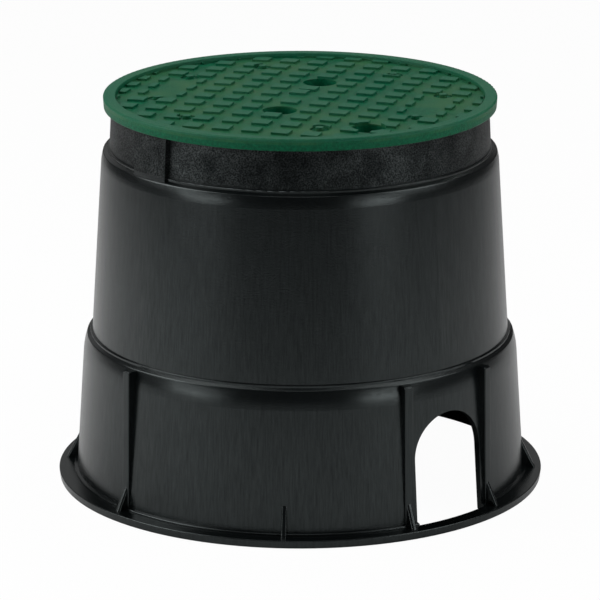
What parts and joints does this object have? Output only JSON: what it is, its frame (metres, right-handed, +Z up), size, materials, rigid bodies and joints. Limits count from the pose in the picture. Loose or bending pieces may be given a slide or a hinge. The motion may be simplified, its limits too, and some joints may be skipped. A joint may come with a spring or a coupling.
{
  "type": "irrigation valve box",
  "caption": "Round tapered in-ground valve box with a ledge, flared foot flange, arched pipe slots and a lift-off round cover with raised treads.",
  "frame": {"origin": "middle of the foot flange, on the plane it stands on", "axes": "+Z up along the axis of the box, +X through the middle of one pipe slot, -Y through the middle of one lock pad"},
  "size_m": [0.3244, 0.3244, 0.26],
  "materials": {
    "black_body": "lightly textured moulded black polyolefin",
    "green_cover": "lightly textured moulded green polyolefin"
  },
  "bodies": {
    "housing": {"box_body": "black_body"},
    "lid": {"cover": "green_cover"}
  },
  "joints": [
    {"name": "lid_lift", "type": "slide", "parent": "housing", "child": "lid", "axis": [0, 0, 1], "range_m": [0, 0.06]}
  ]
}
